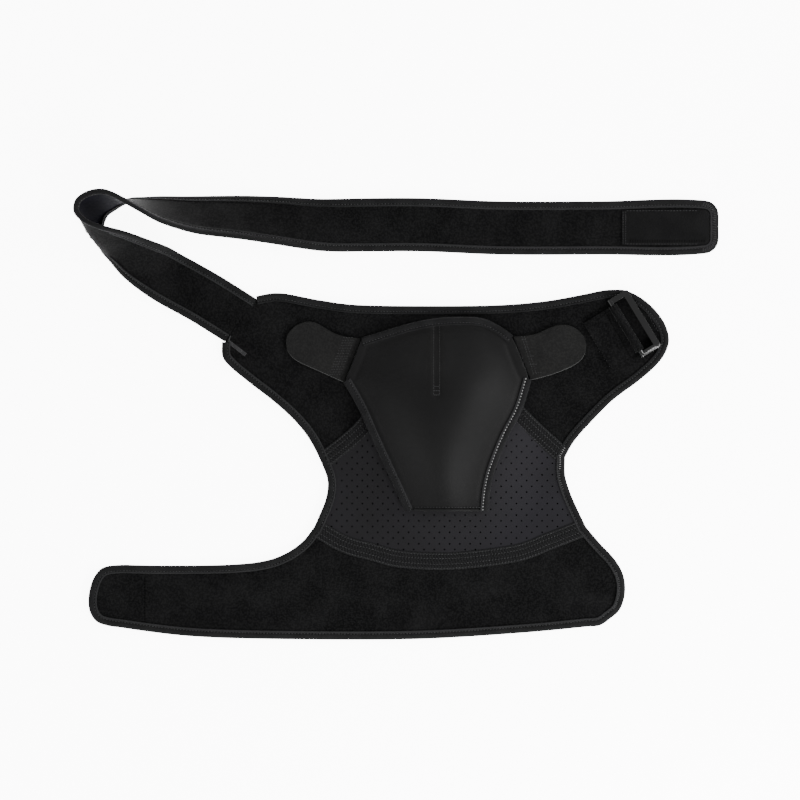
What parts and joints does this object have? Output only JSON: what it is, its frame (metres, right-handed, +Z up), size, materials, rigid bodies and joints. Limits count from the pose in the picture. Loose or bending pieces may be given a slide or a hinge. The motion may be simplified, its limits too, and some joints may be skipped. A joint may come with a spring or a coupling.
{
  "type": "shoulder brace",
  "caption": "Shoulder brace laid flat: a winged yoke, a perforated shoulder panel, an arm band, a domed pocket pad with hook tabs, a ring buckle and a long chest strap folded back.",
  "frame": {"origin": "on the floor, below the middle of the whole part as it lies", "axes": "+Z up, +X along the arm band towards the wing with the buckle, +Y from the arm band towards the collar"},
  "size_m": [0.604, 0.4224, 0.0503],
  "materials": {
    "velour": "brushed loop pile",
    "perforated_neoprene": "matte, perforated",
    "smooth_neoprene": "smooth, faced with fine knit",
    "binding": "folded tape with overlock stitches",
    "tab_cloth": "soft brushed",
    "hook_cloth": "fine hooks",
    "buckle_plastic": "satin moulded"
  },
  "bodies": {
    "root": {"upper_panel": "velour", "centre_panel": "perforated_neoprene", "arm_panel": "velour", "top_binding": "binding", "right_binding": "binding", "arm_binding": "binding", "left_binding": "binding", "shoulder_seam_tape": "binding", "arm_seam_tape": "binding", "pad": "smooth_neoprene", "pad_binding_left": "binding", "pad_binding_top": "binding", "pad_binding_right": "binding", "hook_tab_left": "tab_cloth", "hook_tab_right": "tab_cloth", "chest_strap": "velour", "strap_binding": "binding", "strap_hook_patch": "hook_cloth", "arm_hook_patch": "hook_cloth", "buckle_tab": "velour"},
    "buckle": {"buckle": "buckle_plastic"}
  },
  "joints": [
    {"name": "buckle_turn", "type": "hinge", "parent": "root", "child": "buckle", "pos_m": [0.21572, 0.08013, 0.00894], "axis": [0.5195, -0.8545, 0], "range_deg": [0, 150]}
  ]
}
